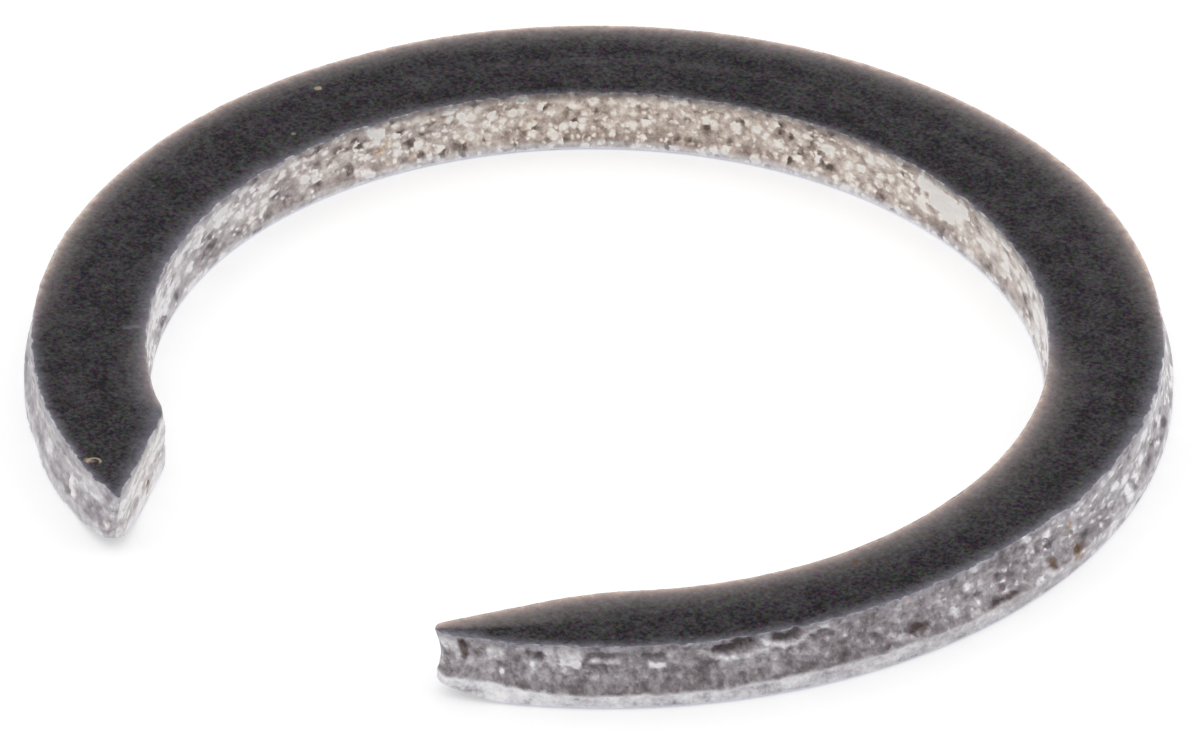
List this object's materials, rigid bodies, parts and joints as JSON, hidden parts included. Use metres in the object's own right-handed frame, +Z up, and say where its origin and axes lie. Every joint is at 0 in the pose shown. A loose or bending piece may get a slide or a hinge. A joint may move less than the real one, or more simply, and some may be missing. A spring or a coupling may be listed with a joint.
{
  "type": "circlip retaining ring",
  "caption": "Flat stamped spring steel retaining ring for a shaft groove, an open C with pointed ends and no lugs, dark faces and grey sheared edges.",
  "frame": {"origin": "centre of the bore at the bottom face, the face with the rolled edge", "axes": "+Z up through the thickness towards the sharp-edged face, and the gap between the ends faces -Y"},
  "size_m": [0.0205, 0.0199, 0.0012],
  "materials": {
    "spring_steel": "black phosphated faces, with grey bare sheared edges"
  },
  "bodies": {
    "root": {"ring": "spring_steel"}
  },
  "joints": []
}
